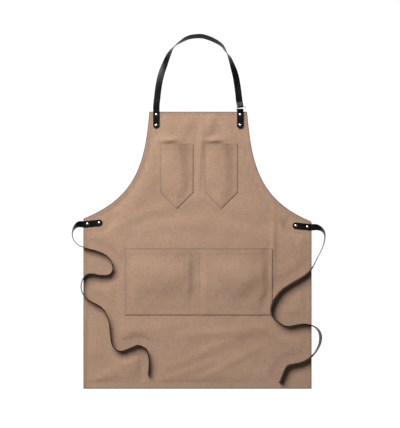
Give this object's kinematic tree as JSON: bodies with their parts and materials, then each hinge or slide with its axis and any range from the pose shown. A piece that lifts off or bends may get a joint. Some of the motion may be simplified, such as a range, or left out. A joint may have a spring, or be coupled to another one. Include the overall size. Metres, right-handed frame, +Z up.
{
  "type": "bib apron",
  "caption": "Canvas bib apron with pockets, laid flat, with a leather neck strap on a metal loop and long leather waist ties.",
  "frame": {"origin": "centre of the bounding box of the apron without its loose waist ties, on the surface it lies on", "axes": "+Y from the bottom hem to the neck, +X to the right seen from the front, +Z up out of the front"},
  "size_m": [0.7779, 1.0877, 0.0244],
  "materials": {
    "canvas": "matte",
    "leather": "satin",
    "nickel": "polished"
  },
  "bodies": {
    "apron": {"body_panel": "canvas", "armhole_facing_left": "canvas", "armhole_facing_right": "canvas", "bib_pocket_left": "canvas", "bib_pocket_right": "canvas", "front_pocket": "canvas", "neck_tab_right": "leather", "neck_strap_riveted_end": "leather", "waist_tie_left": "leather", "waist_tie_right": "leather", "rivet_cap_neck_left_upper": "nickel", "rivet_cap_neck_left_lower": "nickel", "rivet_cap_neck_right_upper": "nickel", "rivet_cap_neck_right_lower": "nickel", "rivet_cap_waist_left_outer": "nickel", "rivet_cap_waist_left_inner": "nickel", "rivet_cap_waist_right_outer": "nickel", "rivet_cap_waist_right_inner": "nickel", "rivet_post_neck_left_upper": "nickel", "rivet_post_neck_left_lower": "nickel", "rivet_post_neck_right_upper": "nickel", "rivet_post_neck_right_lower": "nickel", "rivet_post_waist_left_outer": "nickel", "rivet_post_waist_left_inner": "nickel", "rivet_post_waist_right_outer": "nickel", "rivet_post_waist_right_inner": "nickel"},
    "neck_loop": {"neck_strap": "leather", "strap_loop": "nickel"}
  },
  "joints": [
    {"name": "neck_strap_fold", "type": "hinge", "parent": "apron", "child": "neck_loop", "pos_m": [0.0023, 0.31185, 0.00505], "axis": [1, 0, 0], "range_deg": [0, 135]}
  ]
}
